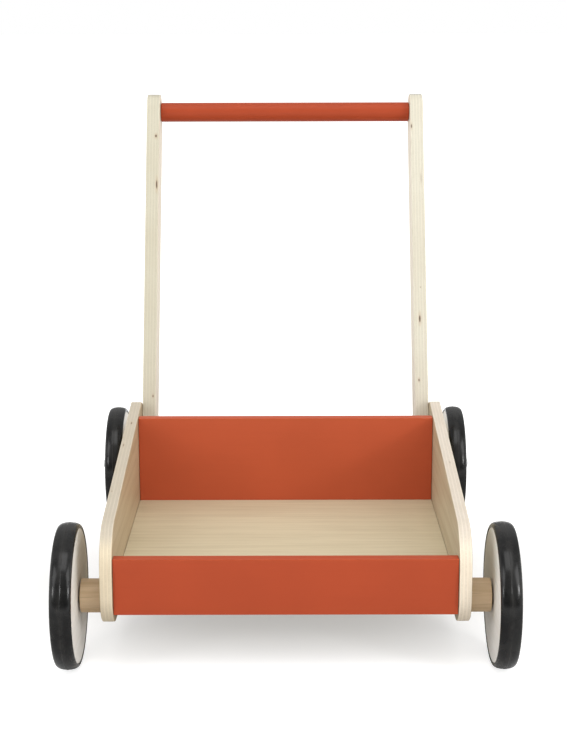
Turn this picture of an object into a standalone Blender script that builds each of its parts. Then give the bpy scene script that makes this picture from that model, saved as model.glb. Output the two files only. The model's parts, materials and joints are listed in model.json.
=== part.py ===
"""Wooden push-along walker: an open tray on four rubber-tyred wheels, with a handle on two leaning uprights.

Metres, +Z up. The front is -Y, and left and right are as seen from the front, so left is -X.
The origin is on the ground, midway between the axles and the sides.
"""

import math

import bpy
from mathutils import Vector

# Gaps and mesh fineness
FIT_GAP = 0.0003  # between pieces that touch
RUNNING_GAP = 0.00015  # between a shaft and what turns on it
WHEEL_STEPS = 32
ROUND_STEPS = 20
SHAFT_STEPS = 16
SMALL_STEPS = 12
CORNER_STEPS = 5
SHARP_ANGLE = math.radians(32)
EASED_EDGE = 0.0006  # chamfer on the boards' edges
FASTENER_EDGE = 0.0006  # chamfer on the heads of bolts and nuts

# Running gear
WHEEL_RADIUS = 0.0650
WHEELBASE = 0.4294
AXLE_SETBACK = 0.0300  # from the sides' front edge to the front axle
WHEEL_INNER_X = 0.1825  # inner face of each wheel disc
DISC_RADIUS = 0.0595
DISC_THICKNESS = 0.0180
DISC_CHAMFER = 0.0008
GROOVE_DEPTH = 0.0025
GROOVE_START = 0.0050  # from either face of the disc
TYRE_OVERHANG = 0.0004  # each side of the disc
TYRE_SHOULDER_RADIUS = 0.0606
TYRE_CROWN_POWER = 2.2
TYRE_CROWN_STEPS = 6
ROD_RADIUS = 0.0040
ROD_EDGE = 0.0005  # chamfer on its ends
BUSH_RADIUS = 0.0065
BUSH_FLANGE_RADIUS = 0.0097
BUSH_FLANGE_THICKNESS = 0.0018
BUSH_STAND_PROUD = 0.0003
SPACER_RADIUS = 0.0150
SPACER_CHAMFER = 0.0005
INNER_WASHER_RADIUS = 0.0090
INNER_WASHER_THICKNESS = 0.0008
OUTER_WASHER_RADIUS = 0.0080
OUTER_WASHER_THICKNESS = 0.0010
CAP_RADIUS = 0.0072
CAP_HEIGHT = 0.0066
CAP_WALL = 0.0014
CAP_DOME_STEPS = 3

# Tray
INNER_WIDTH = 0.3000
SIDE_THICKNESS = 0.0110
BOARD_THICKNESS = 0.0110
FLOOR_THICKNESS = 0.0080
FLOOR_TOP_Z = 0.0798
BOARD_BOTTOM_Z = 0.0573
FRONT_BOARD_TOP_Z = 0.1078
REAR_BOARD_TOP_Z = 0.1662
FRONT_BOARD_SETBACK = 0.0015  # behind the sides' front edge
REAR_BOARD_SETBACK = 0.2678  # behind the sides' front edge

# Outline of a side: distance behind the front edge, height, corner radius
SIDE_CORNERS = (
    (-0.0035, 0.0440, 0.028),
    (0.4970, 0.0440, 0.028),
    (0.4970, 0.0970, 0.030),
    (0.3110, 0.1735, 0.010),
    (0.0005, 0.1296, 0.040),
)

# Uprights and handle
UPRIGHT_THICKNESS = 0.0140
UPRIGHT_DEPTH = 0.0384
UPRIGHT_LEAN = math.radians(23.1)
UPRIGHT_FOOT = 0.4140  # from the handle's centre to the foot
UPRIGHT_FOOT_CORNER = 0.0060
UPRIGHT_TOP_STEPS = 14
HANDLE_SETBACK = 0.4623  # behind the sides' front edge
HANDLE_Z = 0.4631
HANDLE_RADIUS = 0.0103

# Fasteners
BOLT_DISTANCES = (0.3450, 0.3950)  # along an upright from the handle's centre
BOLT_RADIUS = 0.0030
BOLT_HEAD_RADIUS = 0.0075
BOLT_HEAD_THICKNESS = 0.0020
BOLT_SOCKET_RADIUS = 0.0023
BOLT_SOCKET_DEPTH = 0.0012
BOLT_REACH = 0.0080  # into the sleeve nut
NUT_SLEEVE_RADIUS = 0.0043
NUT_SLEEVE_LENGTH = 0.0115
NUT_HEAD_THICKNESS = 0.0018
SCREW_RADIUS = 0.0019
SCREW_HEAD_RADIUS = 0.0040
SCREW_HEAD_DEPTH = 0.0025
SCREW_LENGTH = 0.0300
SCREW_SOCKET_RADIUS = 0.0016
HANDLE_SCREW_RADIUS = 0.0025
HANDLE_SCREW_HEAD_RADIUS = 0.0050
HANDLE_SCREW_HEAD_DEPTH = 0.0030
HANDLE_SCREW_LENGTH = 0.0500
HANDLE_SCREW_SOCKET_RADIUS = 0.0020
SCREW_SINK = 0.0002  # head below the surface
SCREW_LAND = 0.0003  # straight rim of a head, above its cone
SOCKET_DEPTH = 0.0015
PILOT_EXTRA = 0.0010  # a hole's length past its screw's point
FRONT_SCREW_HEIGHTS = (0.0675, 0.0975)
REAR_SCREW_HEIGHTS = (0.0850, 0.1450)
FLOOR_SCREW_SETBACKS = (0.0900, 0.2000)  # behind the sides' front edge

# Worked out from the dimensions above
FRONT_AXLE_Y = -WHEELBASE / 2
REAR_AXLE_Y = WHEELBASE / 2
AXLE_Z = WHEEL_RADIUS
FRONT_EDGE_Y = FRONT_AXLE_Y - AXLE_SETBACK
INNER_X = INNER_WIDTH / 2
OUTER_X = INNER_X + SIDE_THICKNESS
BOARD_END_X = INNER_X - FIT_GAP
UPRIGHT_OUTER_X = INNER_X - FIT_GAP
UPRIGHT_INNER_X = UPRIGHT_OUTER_X - UPRIGHT_THICKNESS
HANDLE_END_X = UPRIGHT_INNER_X - FIT_GAP
HANDLE_Y = FRONT_EDGE_Y + HANDLE_SETBACK
FRONT_BOARD_Y = FRONT_EDGE_Y + FRONT_BOARD_SETBACK
REAR_BOARD_Y = FRONT_EDGE_Y + REAR_BOARD_SETBACK
WASHER_START = DISC_THICKNESS + BUSH_STAND_PROUD + FIT_GAP
CAP_START = WASHER_START + OUTER_WASHER_THICKNESS + FIT_GAP
ROD_END = CAP_START + CAP_HEIGHT - CAP_WALL - FIT_GAP
CUTTER_MARGIN = 0.0050

SIDES = (("left", -1), ("right", 1))
AXLES = (("front", FRONT_AXLE_Y), ("rear", REAR_AXLE_Y))


def clear_scene():
    for obj in list(bpy.data.objects):
        bpy.data.objects.remove(obj)


def material(name, colour, roughness, metallic=0.0):
    made = bpy.data.materials.new(name)
    made.use_nodes = True
    shader = made.node_tree.nodes["Principled BSDF"]
    shader.inputs["Base Color"].default_value = (*colour, 1.0)
    shader.inputs["Roughness"].default_value = roughness
    shader.inputs["Metallic"].default_value = metallic
    made.diffuse_color = (*colour, 1.0)
    return made


def add_object(name, mesh, finish=None):
    obj = bpy.data.objects.new(name, mesh)
    bpy.context.scene.collection.objects.link(obj)
    if finish:
        mesh.materials.append(finish)
        mesh.shade_smooth()
        mesh.set_sharp_from_angle(angle=SHARP_ANGLE)
    return obj


def mark_as_cutter(obj):
    obj.hide_render = True
    obj.display_type = "WIRE"
    return obj


def cut(obj, cutter):
    boolean = obj.modifiers.new("Cut " + cutter.name, "BOOLEAN")
    boolean.operation = "DIFFERENCE"
    boolean.solver = "EXACT"
    boolean.object = cutter


def ease_edges(obj, width=EASED_EDGE):
    bevel = obj.modifiers.new("Eased edges", "BEVEL")
    bevel.width = width
    bevel.segments = 1
    bevel.limit_method = "ANGLE"
    bevel.angle_limit = SHARP_ANGLE


def arc(centre, radius, start, end, steps):
    """Points in a plane along an arc, ends included."""
    angles = [start + (end - start) * i / steps for i in range(steps + 1)]
    return [centre + Vector((math.cos(a), math.sin(a))) * radius for a in angles]


def rounded_outline(corners):
    """Closed outline through (across, up, radius) corners, each turned into an arc."""
    outline = []
    for i, (across, up, radius) in enumerate(corners):
        corner = Vector((across, up))
        before = (Vector(corners[i - 1][:2]) - corner).normalized()
        after = (Vector(corners[(i + 1) % len(corners)][:2]) - corner).normalized()
        half = before.angle(after) / 2
        centre = corner + (before + after).normalized() * radius / math.sin(half)
        start = corner + before * radius / math.tan(half) - centre
        end = corner + after * radius / math.tan(half) - centre
        first = math.atan2(start.y, start.x)
        turn = math.atan2(start.cross(end), start.dot(end))
        outline += arc(centre, radius, first, first + turn, CORNER_STEPS)
    return outline


def plate(name, outline, x_low, x_high, finish=None):
    """Flat plate across X, from an outline of (y, z) points that runs anticlockwise seen from +X."""
    count = len(outline)
    points = [(x, p[0], p[1]) for x in (x_low, x_high) for p in outline]
    walls = [(i, (i + 1) % count, count + (i + 1) % count, count + i) for i in range(count)]
    faces = [tuple(reversed(range(count))), tuple(range(count, 2 * count)), *walls]
    mesh = bpy.data.meshes.new(name)
    mesh.from_pydata(points, [], faces)
    return add_object(name, mesh, finish)


def board(name, x_half, y_low, y_high, z_low, z_high, finish):
    outline = [(y_low, z_low), (y_high, z_low), (y_high, z_high), (y_low, z_high)]
    obj = plate(name, outline, -x_half, x_half, finish)
    ease_edges(obj)
    return obj


def turned(name, profile, steps, finish=None, closed=False):
    """Solid of revolution about local Z. The (radius, height) profile runs down the outer side."""
    mesh = bpy.data.meshes.new(name)
    count = len(profile)
    edges = [(i, i + 1) for i in range(count - 1)]
    if closed:
        edges.append((count - 1, 0))
    mesh.from_pydata([(radius, 0, height) for radius, height in profile], edges, [])
    obj = add_object(name, mesh)
    if finish:
        mesh.materials.append(finish)
    screw = obj.modifiers.new("Turn", "SCREW")
    screw.axis = "Z"
    screw.steps = steps
    screw.render_steps = steps
    screw.use_merge_vertices = True
    screw.merge_threshold = 0.00001
    screw.use_smooth_shade = True
    return obj


def tube_profile(inner, outer, low, high, chamfer=0.0):
    """Closed profile of a tube, with its two outer edges chamfered."""
    if not chamfer:
        return [(outer, high), (outer, low), (inner, low), (inner, high)]
    rim = [(outer - chamfer, high), (outer, high - chamfer), (outer, low + chamfer), (outer - chamfer, low)]
    return rim + [(inner, low), (inner, high)]


def point_outwards(obj, side, x, y, z):
    """Turns local Z to point away from the cart's middle plane."""
    obj.location = (side * x, y, z)
    obj.rotation_euler = (0, side * math.pi / 2, 0)


def along_upright(distance):
    """Centre of an upright at a distance below the handle, as (y, z)."""
    return (HANDLE_Y - distance * math.sin(UPRIGHT_LEAN), HANDLE_Z - distance * math.cos(UPRIGHT_LEAN))


def drill(obj, name, profile, side, x, y, z):
    """Cuts a turned hole whose local Z points outwards from the middle plane."""
    cutter = mark_as_cutter(turned(name, profile, SMALL_STEPS))
    point_outwards(cutter, side, x, y, z)
    cut(obj, cutter)


def straight_hole(radius, low, high):
    return [(0, high), (radius, high), (radius, low), (0, low)]


def countersunk_hole(radius, head_radius, head_depth, length):
    """Screw hole with its mouth at height 0 and its point at -length."""
    head = head_radius + FIT_GAP
    shank = radius + FIT_GAP
    top = CUTTER_MARGIN
    seat = -SCREW_SINK - SCREW_LAND - FIT_GAP
    neck = -SCREW_SINK - head_depth - FIT_GAP
    return [(0, top), (head, top), (head, seat), (shank, neck), (shank, -length), (0, -length)]


def screw_hole():
    return countersunk_hole(SCREW_RADIUS, SCREW_HEAD_RADIUS, SCREW_HEAD_DEPTH, SCREW_LENGTH + PILOT_EXTRA)


def handle_screw_hole():
    length = HANDLE_SCREW_LENGTH + PILOT_EXTRA
    return countersunk_hole(HANDLE_SCREW_RADIUS, HANDLE_SCREW_HEAD_RADIUS, HANDLE_SCREW_HEAD_DEPTH, length)


def screw_places():
    """(board, height or setback name, y, z) of the screws through one side."""
    places = []
    for i, z in enumerate(FRONT_SCREW_HEIGHTS):
        places.append((f"front_{i + 1}", FRONT_BOARD_Y + BOARD_THICKNESS / 2, z))
    for i, z in enumerate(REAR_SCREW_HEIGHTS):
        places.append((f"rear_{i + 1}", REAR_BOARD_Y + BOARD_THICKNESS / 2, z))
    for i, setback in enumerate(FLOOR_SCREW_SETBACKS):
        places.append((f"floor_{i + 1}", FRONT_EDGE_Y + setback, FLOOR_TOP_Z - FLOOR_THICKNESS / 2))
    return places


def side_panel(name, side, finish):
    corners = [(FRONT_EDGE_Y + y, z, radius) for y, z, radius in SIDE_CORNERS]
    low, high = sorted((side * INNER_X, side * OUTER_X))
    panel = plate("side_panel_" + name, rounded_outline(corners), low, high, finish)
    ease_edges(panel)
    for axle, y in AXLES:
        hole = straight_hole(ROD_RADIUS + FIT_GAP, -CUTTER_MARGIN, SIDE_THICKNESS + CUTTER_MARGIN)
        drill(panel, f"side_axle_hole_{axle}_{name}", hole, side, INNER_X, y, AXLE_Z)
    for i, distance in enumerate(BOLT_DISTANCES):
        hole = straight_hole(BOLT_RADIUS + FIT_GAP, -CUTTER_MARGIN, SIDE_THICKNESS + CUTTER_MARGIN)
        drill(panel, f"side_bolt_hole_{i + 1}_{name}", hole, side, INNER_X, *along_upright(distance))
    for place, y, z in screw_places():
        drill(panel, f"side_screw_hole_{place}_{name}", screw_hole(), side, OUTER_X, y, z)


def tray_boards(paint, floor_wood):
    front = board(
        "front_board",
        BOARD_END_X,
        FRONT_BOARD_Y,
        FRONT_BOARD_Y + BOARD_THICKNESS,
        BOARD_BOTTOM_Z,
        FRONT_BOARD_TOP_Z,
        paint,
    )
    rear = board(
        "rear_board",
        BOARD_END_X,
        REAR_BOARD_Y,
        REAR_BOARD_Y + BOARD_THICKNESS,
        BOARD_BOTTOM_Z,
        REAR_BOARD_TOP_Z,
        paint,
    )
    floor = board(
        "floor_board",
        BOARD_END_X,
        FRONT_BOARD_Y + BOARD_THICKNESS + FIT_GAP,
        REAR_BOARD_Y - FIT_GAP,
        FLOOR_TOP_Z - FLOOR_THICKNESS,
        FLOOR_TOP_Z,
        floor_wood,
    )
    drilled = {"front": front, "rear": rear, "floor": floor}
    for name, side in SIDES:
        for place, y, z in screw_places():
            target = drilled[place.split("_")[0]]
            drill(target, f"board_screw_hole_{place}_{name}", screw_hole(), side, OUTER_X, y, z)


def upright_outline():
    """Outline of an upright in its own plane: (back, up) from the handle's centre, before it leans."""
    half = UPRIGHT_DEPTH / 2
    foot = [(-half, -UPRIGHT_FOOT, UPRIGHT_FOOT_CORNER), (half, -UPRIGHT_FOOT, UPRIGHT_FOOT_CORNER)]
    lower = rounded_outline([*foot, (half, 0, half / 100), (-half, 0, half / 100)])
    foot_points = lower[: 2 * (CORNER_STEPS + 1)]
    return foot_points + arc(Vector((0, 0)), half, 0, math.pi, UPRIGHT_TOP_STEPS)


def upright(name, side, finish):
    low, high = sorted((side * UPRIGHT_INNER_X, side * UPRIGHT_OUTER_X))
    obj = plate("upright_" + name, upright_outline(), low, high, finish)
    obj.location = (0, HANDLE_Y, HANDLE_Z)
    obj.rotation_euler = (-UPRIGHT_LEAN, 0, 0)
    ease_edges(obj)
    for i, distance in enumerate(BOLT_DISTANCES):
        hole = straight_hole(NUT_SLEEVE_RADIUS + FIT_GAP, -CUTTER_MARGIN, UPRIGHT_THICKNESS + CUTTER_MARGIN)
        drill(obj, f"upright_bolt_hole_{i + 1}_{name}", hole, side, UPRIGHT_INNER_X, *along_upright(distance))
    drill(obj, f"upright_screw_hole_{name}", handle_screw_hole(), side, UPRIGHT_OUTER_X, HANDLE_Y, HANDLE_Z)


def handle(finish):
    chamfer = EASED_EDGE
    profile = [
        (0, HANDLE_END_X),
        (HANDLE_RADIUS - chamfer, HANDLE_END_X),
        (HANDLE_RADIUS, HANDLE_END_X - chamfer),
        (HANDLE_RADIUS, -HANDLE_END_X + chamfer),
        (HANDLE_RADIUS - chamfer, -HANDLE_END_X),
        (0, -HANDLE_END_X),
    ]
    bar = turned("handle_bar", profile, ROUND_STEPS, finish)
    point_outwards(bar, 1, 0, HANDLE_Y, HANDLE_Z)
    for name, side in SIDES:
        drill(bar, f"bar_screw_hole_{name}", handle_screw_hole(), side, UPRIGHT_OUTER_X, HANDLE_Y, HANDLE_Z)


def hex_socket(obj, name, radius, depth, side, x, y, z):
    """Six-sided recess in a head whose face is at x."""
    profile = straight_hole(radius, -depth, CUTTER_MARGIN)
    cutter = mark_as_cutter(turned(name, profile, 6))
    point_outwards(cutter, side, x, y, z)
    cut(obj, cutter)


def countersunk_screw(name, radius, head_radius, head_depth, length, socket_radius, side, x, y, z, finish):
    tip = 2 * radius
    profile = [
        (0, 0),
        (head_radius, 0),
        (head_radius, -SCREW_LAND),
        (radius, -head_depth),
        (radius, -length + tip),
        (0, -length),
    ]
    screw = turned(name, profile, SMALL_STEPS, finish)
    point_outwards(screw, side, x - SCREW_SINK, y, z)
    hex_socket(screw, name + "_socket", socket_radius, SOCKET_DEPTH, side, x - SCREW_SINK, y, z)


def board_screws(name, side, steel):
    for place, y, z in screw_places():
        countersunk_screw(
            f"board_screw_{place}_{name}",
            SCREW_RADIUS,
            SCREW_HEAD_RADIUS,
            SCREW_HEAD_DEPTH,
            SCREW_LENGTH,
            SCREW_SOCKET_RADIUS,
            side,
            OUTER_X,
            y,
            z,
            steel,
        )


def handle_screw(name, side, steel):
    countersunk_screw(
        f"handle_screw_{name}",
        HANDLE_SCREW_RADIUS,
        HANDLE_SCREW_HEAD_RADIUS,
        HANDLE_SCREW_HEAD_DEPTH,
        HANDLE_SCREW_LENGTH,
        HANDLE_SCREW_SOCKET_RADIUS,
        side,
        UPRIGHT_OUTER_X,
        HANDLE_Y,
        HANDLE_Z,
        steel,
    )


def upright_bolt(name, side, y, z, steel):
    """Flat-headed bolt from outside the side, with its point in the sleeve nut."""
    head_low = FIT_GAP
    head_high = head_low + BOLT_HEAD_THICKNESS
    edge = FASTENER_EDGE
    end = UPRIGHT_INNER_X + NUT_SLEEVE_LENGTH - BOLT_REACH - OUTER_X
    profile = [
        (0, head_high),
        (BOLT_HEAD_RADIUS - edge, head_high),
        (BOLT_HEAD_RADIUS, head_high - edge),
        (BOLT_HEAD_RADIUS, head_low),
        (BOLT_RADIUS, head_low),
        (BOLT_RADIUS, end),
        (0, end),
    ]
    bolt = turned(name, profile, SHAFT_STEPS, steel)
    point_outwards(bolt, side, OUTER_X, y, z)
    face = OUTER_X + head_high
    hex_socket(bolt, name + "_socket", BOLT_SOCKET_RADIUS, BOLT_SOCKET_DEPTH, side, face, y, z)


def upright_nut(name, side, y, z, steel):
    """Sleeve nut from inside the upright: a flat head, and a sleeve in the upright's hole."""
    head_high = -FIT_GAP
    head_low = head_high - NUT_HEAD_THICKNESS
    edge = FASTENER_EDGE
    thread = BOLT_RADIUS + RUNNING_GAP
    profile = [
        (0, head_high),
        (thread, head_high),
        (thread, NUT_SLEEVE_LENGTH),
        (NUT_SLEEVE_RADIUS, NUT_SLEEVE_LENGTH),
        (NUT_SLEEVE_RADIUS, head_high),
        (BOLT_HEAD_RADIUS, head_high),
        (BOLT_HEAD_RADIUS, head_low + edge),
        (BOLT_HEAD_RADIUS - edge, head_low),
        (0, head_low),
    ]
    nut = turned(name, profile, SHAFT_STEPS, steel)
    point_outwards(nut, side, UPRIGHT_INNER_X, y, z)
    hex_socket_from_inside(nut, name + "_socket", side, UPRIGHT_INNER_X + head_low, y, z)


def hex_socket_from_inside(obj, name, side, x, y, z):
    """Six-sided recess in a head that faces the middle plane."""
    profile = straight_hole(BOLT_SOCKET_RADIUS, -CUTTER_MARGIN, BOLT_SOCKET_DEPTH)
    cutter = mark_as_cutter(turned(name, profile, 6))
    point_outwards(cutter, side, x, y, z)
    cut(obj, cutter)


def axle_rod(name, y, steel):
    end = WHEEL_INNER_X + ROD_END
    edge = ROD_EDGE
    profile = [
        (0, end),
        (ROD_RADIUS - edge, end),
        (ROD_RADIUS, end - edge),
        (ROD_RADIUS, -end + edge),
        (ROD_RADIUS - edge, -end),
        (0, -end),
    ]
    rod = turned(name + "_axle_rod", profile, SHAFT_STEPS, steel)
    point_outwards(rod, 1, 0, y, AXLE_Z)


def fixed_axle_pieces(name, side, y, wood, nylon, steel):
    """The spacer, the washers and the cap, none of which turn with the wheel."""
    bore = ROD_RADIUS + FIT_GAP
    spacer_end = WHEEL_INNER_X - 2 * FIT_GAP - INNER_WASHER_THICKNESS - FIT_GAP - OUTER_X
    spacer = turned(
        "axle_spacer_" + name,
        tube_profile(bore, SPACER_RADIUS, FIT_GAP, spacer_end, SPACER_CHAMFER),
        ROUND_STEPS,
        wood,
        closed=True,
    )
    point_outwards(spacer, side, OUTER_X, y, AXLE_Z)
    inner = turned(
        "inner_washer_" + name,
        tube_profile(bore, INNER_WASHER_RADIUS, -FIT_GAP - INNER_WASHER_THICKNESS, -FIT_GAP),
        SMALL_STEPS,
        nylon,
        closed=True,
    )
    outer = turned(
        "outer_washer_" + name,
        tube_profile(bore, OUTER_WASHER_RADIUS, WASHER_START, WASHER_START + OUTER_WASHER_THICKNESS),
        SMALL_STEPS,
        steel,
        closed=True,
    )
    cap = turned("axle_cap_" + name, cap_profile(), SMALL_STEPS, steel)
    for piece in (inner, outer, cap):
        point_outwards(piece, side, WHEEL_INNER_X, y, AXLE_Z)


def cap_profile():
    """Domed cap with a blind hole for the rod's end: dome, skirt, then the hole."""
    top = CAP_START + CAP_HEIGHT
    skirt = CAP_START + CAP_HEIGHT / 3
    hole = ROD_RADIUS + RUNNING_GAP
    dome = []
    for i in range(CAP_DOME_STEPS + 1):
        angle = math.pi / 2 * (1 - i / CAP_DOME_STEPS)
        dome.append((CAP_RADIUS * math.cos(angle), skirt + (top - skirt) * math.sin(angle)))
    dome[0] = (0, top)
    return [*dome, (CAP_RADIUS, CAP_START), (hole, CAP_START), (hole, top - CAP_WALL), (0, top - CAP_WALL)]


def disc_profile():
    """Wheel disc from its inner face at 0: rim, tyre groove, bore, and a recess for the bush's flange."""
    top = DISC_THICKNESS
    recess = top - BUSH_FLANGE_THICKNESS - FIT_GAP
    return [
        (BUSH_FLANGE_RADIUS + FIT_GAP, top),
        (DISC_RADIUS - DISC_CHAMFER, top),
        (DISC_RADIUS, top - DISC_CHAMFER),
        (DISC_RADIUS, top - GROOVE_START),
        (DISC_RADIUS - GROOVE_DEPTH, top / 2),
        (DISC_RADIUS, GROOVE_START),
        (DISC_RADIUS, DISC_CHAMFER),
        (DISC_RADIUS - DISC_CHAMFER, 0),
        (BUSH_RADIUS + FIT_GAP, 0),
        (BUSH_RADIUS + FIT_GAP, recess),
        (BUSH_FLANGE_RADIUS + FIT_GAP, recess),
    ]


def tyre_profile():
    """Tyre with a crowned tread and round shoulders, and a rib in the disc's groove."""
    middle = DISC_THICKNESS / 2
    half = middle + TYRE_OVERHANG
    crown = []
    for i in range(TYRE_CROWN_STEPS + 1):
        across = math.cos(math.pi * i / TYRE_CROWN_STEPS)
        rise = (1 - abs(across) ** TYRE_CROWN_POWER) ** (1 / TYRE_CROWN_POWER)
        radius = TYRE_SHOULDER_RADIUS + (WHEEL_RADIUS - TYRE_SHOULDER_RADIUS) * rise
        crown.append((radius, middle + half * across))
    inside = DISC_RADIUS + FIT_GAP
    return [
        *crown,
        (inside, middle - half),
        (inside, GROOVE_START),
        (inside - GROOVE_DEPTH, middle),
        (inside, DISC_THICKNESS - GROOVE_START),
        (inside, middle + half),
    ]


def bush_profile():
    bore = ROD_RADIUS + RUNNING_GAP
    top = DISC_THICKNESS + BUSH_STAND_PROUD
    flange = DISC_THICKNESS - BUSH_FLANGE_THICKNESS
    return [
        (BUSH_FLANGE_RADIUS, top),
        (BUSH_FLANGE_RADIUS, flange),
        (BUSH_RADIUS, flange),
        (BUSH_RADIUS, 0),
        (bore, 0),
        (bore, top),
    ]


def wheel(name, side, y, wood, rubber, nylon):
    """Wheel on an empty at the centre of its inner face, whose local Z is the axle."""
    hub = bpy.data.objects.new("wheel_" + name, None)
    bpy.context.scene.collection.objects.link(hub)
    point_outwards(hub, side, WHEEL_INNER_X, y, AXLE_Z)
    disc = turned("wheel_disc_" + name, disc_profile(), WHEEL_STEPS, wood, closed=True)
    tyre = turned("tyre_" + name, tyre_profile(), WHEEL_STEPS, rubber, closed=True)
    bush = turned("wheel_bush_" + name, bush_profile(), SHAFT_STEPS, nylon, closed=True)
    for piece in (disc, tyre, bush):
        piece.parent = hub


def main():
    clear_scene()
    plywood = material("plywood", (0.78, 0.65, 0.46), 0.50)
    paint = material("red_paint", (0.48, 0.093, 0.036), 0.42)
    floor_wood = material("floor_wood", (0.62, 0.49, 0.33), 0.50)
    wheel_wood = material("wheel_wood", (0.66, 0.60, 0.52), 0.55)
    dowel_wood = material("dowel_wood", (0.50, 0.38, 0.25), 0.55)
    rubber = material("black_rubber", (0.018, 0.018, 0.019), 0.42)
    steel = material("zinc_steel", (0.62, 0.62, 0.63), 0.32, 1.0)
    nylon = material("nylon", (0.10, 0.10, 0.10), 0.45)
    tray_boards(paint, floor_wood)
    handle(paint)
    for name, side in SIDES:
        side_panel(name, side, plywood)
        upright(name, side, plywood)
        board_screws(name, side, steel)
        handle_screw(name, side, steel)
        for i, distance in enumerate(BOLT_DISTANCES):
            upright_bolt(f"upright_bolt_{i + 1}_{name}", side, *along_upright(distance), steel)
            upright_nut(f"upright_nut_{i + 1}_{name}", side, *along_upright(distance), steel)
    for axle, y in AXLES:
        axle_rod(axle, y, steel)
        for name, side in SIDES:
            fixed_axle_pieces(f"{axle}_{name}", side, y, dowel_wood, nylon, steel)
            wheel(f"{axle}_{name}", side, y, wheel_wood, rubber, nylon)


main()
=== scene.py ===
"""Looks of the wooden push-along walker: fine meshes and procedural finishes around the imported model.

Metres, +Z up, the front is -Y, and left is -X, as seen from the front.
"""

import json
import math

import bpy
from mathutils import Matrix, Vector


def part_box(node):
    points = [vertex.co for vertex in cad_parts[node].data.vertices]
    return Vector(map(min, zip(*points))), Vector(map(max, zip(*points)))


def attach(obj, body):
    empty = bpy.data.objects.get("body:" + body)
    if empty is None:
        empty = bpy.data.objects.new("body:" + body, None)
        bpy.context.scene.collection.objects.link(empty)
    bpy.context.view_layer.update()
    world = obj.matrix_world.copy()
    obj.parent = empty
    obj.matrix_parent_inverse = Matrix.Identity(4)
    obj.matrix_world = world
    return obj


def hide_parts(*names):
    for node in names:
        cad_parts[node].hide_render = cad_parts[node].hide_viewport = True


# Camera
CAMERA_AT = (0.0007, -1.5456, 0.5617)
CAMERA_DOWN = math.radians(12.59)
CAMERA_TURN = math.radians(-0.097)
CAMERA_ROLL = math.radians(-0.149)
CAMERA_LENS_MM = 76.32
CAMERA_SENSOR_MM = 36.0

# Mesh fineness
SHARP_ANGLE = math.radians(9)
WHEEL_STEPS = 144
ROUND_STEPS = 64
SMALL_STEPS = 48
CORNER_STEPS = 16
TOP_STEPS = 40
EASE_STEPS = 4
DOME_STEPS = 12
CROWN_STEPS = 32
HANDLE_STEPS = 96
EASED_ANGLE = math.radians(32)
TYRE_SHARP_ANGLE = math.radians(24)

# Shapes that the CAD boxes don't give
AXLE_SETBACK = 0.0300
SIDE_CORNERS = (
    (-0.0035, 0.0440, 0.028),
    (0.4970, 0.0440, 0.028),
    (0.4970, 0.0970, 0.030),
    (0.3110, 0.1735, 0.010),
    (0.0005, 0.1296, 0.040),
)
SIDE_EASE = 0.0010
BOARD_EASE = 0.0005
UPRIGHT_DEPTH = 0.0384
UPRIGHT_LEAN = math.radians(23.1)
UPRIGHT_FOOT = 0.4140
UPRIGHT_FOOT_CORNER = 0.0060
UPRIGHT_EASE = 0.0010
FIT_GAP = 0.0003
ROD_RADIUS = 0.0040
FLOOR_EASE = 0.0002
BOLT_HOLE_RADIUS = 0.0033
SLEEVE_HOLE_RADIUS = 0.0046
SOCKET_RADIUS = 0.0023
SOCKET_DEPTH = 0.0012
TYRE_SHOULDER_RADIUS = 0.0606
TYRE_CROWN_POWER = 2.2
TYRE_RIDGE = 0.00018
SIDE_PLIES = 7
UPRIGHT_PLIES = 9

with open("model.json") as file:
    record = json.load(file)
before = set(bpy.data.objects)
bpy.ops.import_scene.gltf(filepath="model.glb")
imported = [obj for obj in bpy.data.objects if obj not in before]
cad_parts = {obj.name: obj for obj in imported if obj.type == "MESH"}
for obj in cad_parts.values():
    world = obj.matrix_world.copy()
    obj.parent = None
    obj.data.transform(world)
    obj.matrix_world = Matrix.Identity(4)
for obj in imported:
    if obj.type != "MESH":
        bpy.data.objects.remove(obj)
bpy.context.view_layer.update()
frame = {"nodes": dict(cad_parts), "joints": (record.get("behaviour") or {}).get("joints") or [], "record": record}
record = frame["record"]
BODY_OF = {node: body for body, nodes in record["behaviour"]["bodies"].items() for node in nodes}
AXLES = {joint["child"]: Vector(joint["pos_m"]) for joint in frame["joints"]}
SIDES = (("left", -1), ("right", 1))
WHEELS = tuple((f"{axle}_{name}", side) for axle in ("front", "rear") for name, side in SIDES)


def make_camera():
    cam = bpy.data.objects.new("camera", bpy.data.cameras.new("camera"))
    bpy.context.scene.collection.objects.link(cam)
    cam.data.lens = CAMERA_LENS_MM
    cam.data.sensor_width = CAMERA_SENSOR_MM
    forward = Vector((
        math.sin(CAMERA_TURN) * math.cos(CAMERA_DOWN),
        math.cos(CAMERA_TURN) * math.cos(CAMERA_DOWN),
        -math.sin(CAMERA_DOWN),
    ))
    level = Vector((math.cos(CAMERA_TURN), -math.sin(CAMERA_TURN), 0))
    above = level.cross(forward)
    right = level * math.cos(CAMERA_ROLL) + above * math.sin(CAMERA_ROLL)
    up = above * math.cos(CAMERA_ROLL) - level * math.sin(CAMERA_ROLL)
    turn = Matrix((right, up, -forward)).transposed().to_4x4()
    cam.matrix_world = Matrix.Translation(CAMERA_AT) @ turn
    bpy.context.scene.camera = cam


make_camera()


# ---------------------------------------------------------------- meshes


def arc(centre, radius, start, end, steps):
    angles = [start + (end - start) * i / steps for i in range(steps + 1)]
    return [centre + Vector((math.cos(a), math.sin(a))) * radius for a in angles]


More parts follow.
